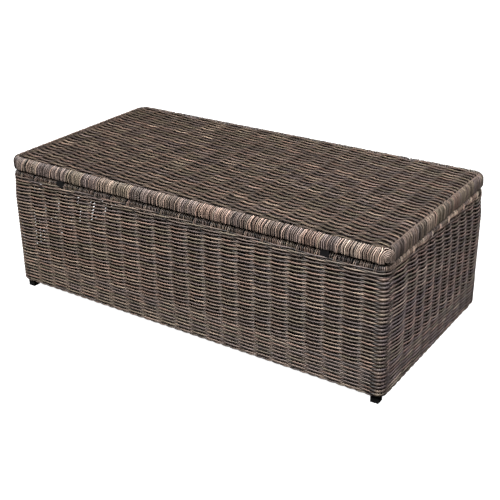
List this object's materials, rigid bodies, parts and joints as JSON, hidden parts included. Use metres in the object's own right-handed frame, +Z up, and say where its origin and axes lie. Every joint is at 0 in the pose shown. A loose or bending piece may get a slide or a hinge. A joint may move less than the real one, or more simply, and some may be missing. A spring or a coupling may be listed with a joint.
{
  "type": "wicker storage coffee table",
  "caption": "Low rectangular garden table in woven round wicker over a black tube frame, with a hinged lid on gas struts over a storage box",
  "frame": {"origin": "On the floor under the middle of the table", "axes": "+X along the length, -Y the front (the side that opens), +Z up"},
  "size_m": [1.3, 0.655, 0.448],
  "materials": {
    "wicker": "woven round plastic strand, satin, pinkish brown and grey strands mixed",
    "frame_tube": "black powder coat, satin",
    "floor_board": "dark brown stained board, matte",
    "black_rubber": "moulded, matte",
    "zinc_steel": "zinc plated",
    "bracket_black": "black powder coat, satin",
    "strut_black": "black gloss paint",
    "rod_chrome": "polished"
  },
  "bodies": {
    "table": {"top_rail_front": "frame_tube", "top_rail_back": "frame_tube", "top_rail_left": "frame_tube", "top_rail_right": "frame_tube", "corner_post_front_left": "frame_tube", "corner_post_front_right": "frame_tube", "corner_post_back_left": "frame_tube", "corner_post_back_right": "frame_tube", "bottom_rail_front": "frame_tube", "bottom_rail_back": "frame_tube", "bottom_rail_left": "frame_tube", "bottom_rail_right": "frame_tube", "side_upright_left": "frame_tube", "side_upright_right": "frame_tube", "floor_bar_left": "frame_tube", "floor_bar_middle": "frame_tube", "floor_bar_right": "frame_tube", "floor_panel": "floor_board", "foot_plug_front_left": "black_rubber", "foot_plug_front_right": "black_rubber", "foot_plug_back_left": "black_rubber", "foot_plug_back_right": "black_rubber", "weave_front": "wicker", "weave_back": "wicker", "weave_left": "wicker", "weave_right": "wicker", "rim_wrap_front": "wicker", "rim_wrap_back": "wicker", "rim_wrap_left": "wicker", "rim_wrap_right": "wicker", "lid_buffer_left": "black_rubber", "lid_buffer_right": "black_rubber", "hinge_body_leaf_left": "zinc_steel", "hinge_body_leaf_right": "zinc_steel", "hinge_pins": "zinc_steel", "strut_body_bracket_left": "bracket_black", "strut_body_bracket_right": "bracket_black", "body_screws": "zinc_steel"},
    "lid": {"lid_rail_front": "frame_tube", "lid_rail_back": "frame_tube", "lid_rail_left": "frame_tube", "lid_rail_right": "frame_tube", "lid_bar_left": "frame_tube", "lid_bar_middle": "frame_tube", "lid_bar_right": "frame_tube", "lid_weave": "wicker", "lid_edge_wrap_front": "wicker", "lid_edge_wrap_back": "wicker", "lid_edge_wrap_left": "wicker", "lid_edge_wrap_right": "wicker", "hinge_lid_leaf_left": "zinc_steel", "hinge_lid_leaf_right": "zinc_steel", "strut_lid_bracket_left": "bracket_black", "strut_lid_bracket_right": "bracket_black", "lid_screws": "zinc_steel"},
    "strut_cylinder_left": {"strut_cylinder_left": "strut_black"},
    "strut_cylinder_right": {"strut_cylinder_right": "strut_black"},
    "strut_rod_left": {"strut_rod_left": "rod_chrome"},
    "strut_rod_right": {"strut_rod_right": "rod_chrome"}
  },
  "joints": [
    {"name": "lid_hinge", "type": "hinge", "parent": "table", "child": "lid", "pos_m": [0, 0.323, 0.405], "axis": [-1, 0, 0], "range_deg": [0, 75]},
    {"name": "strut_cylinder_pivot_left", "type": "hinge", "parent": "table", "child": "strut_cylinder_left", "pos_m": [-0.597, 0.24884, 0.17675], "axis": [-1, 0, 0], "range_deg": [0, 37.5]},
    {"name": "strut_rod_pivot_left", "type": "hinge", "parent": "lid", "child": "strut_rod_left", "pos_m": [-0.597, 0.08315, 0.39662], "axis": [-1, 0, 0], "range_deg": [-37.5, 0]},
    {"name": "strut_cylinder_pivot_right", "type": "hinge", "parent": "table", "child": "strut_cylinder_right", "pos_m": [0.597, 0.24884, 0.17675], "axis": [-1, 0, 0], "range_deg": [0, 37.5]},
    {"name": "strut_rod_pivot_right", "type": "hinge", "parent": "lid", "child": "strut_rod_right", "pos_m": [0.597, 0.08315, 0.39662], "axis": [-1, 0, 0], "range_deg": [-37.5, 0]}
  ],
  "couplings": [
    {"joint": "strut_cylinder_pivot_left", "follows": "lid_hinge", "ratio": 0.5},
    {"joint": "strut_rod_pivot_left", "follows": "lid_hinge", "ratio": -0.5},
    {"joint": "strut_cylinder_pivot_right", "follows": "lid_hinge", "ratio": 0.5},
    {"joint": "strut_rod_pivot_right", "follows": "lid_hinge", "ratio": -0.5}
  ]
}
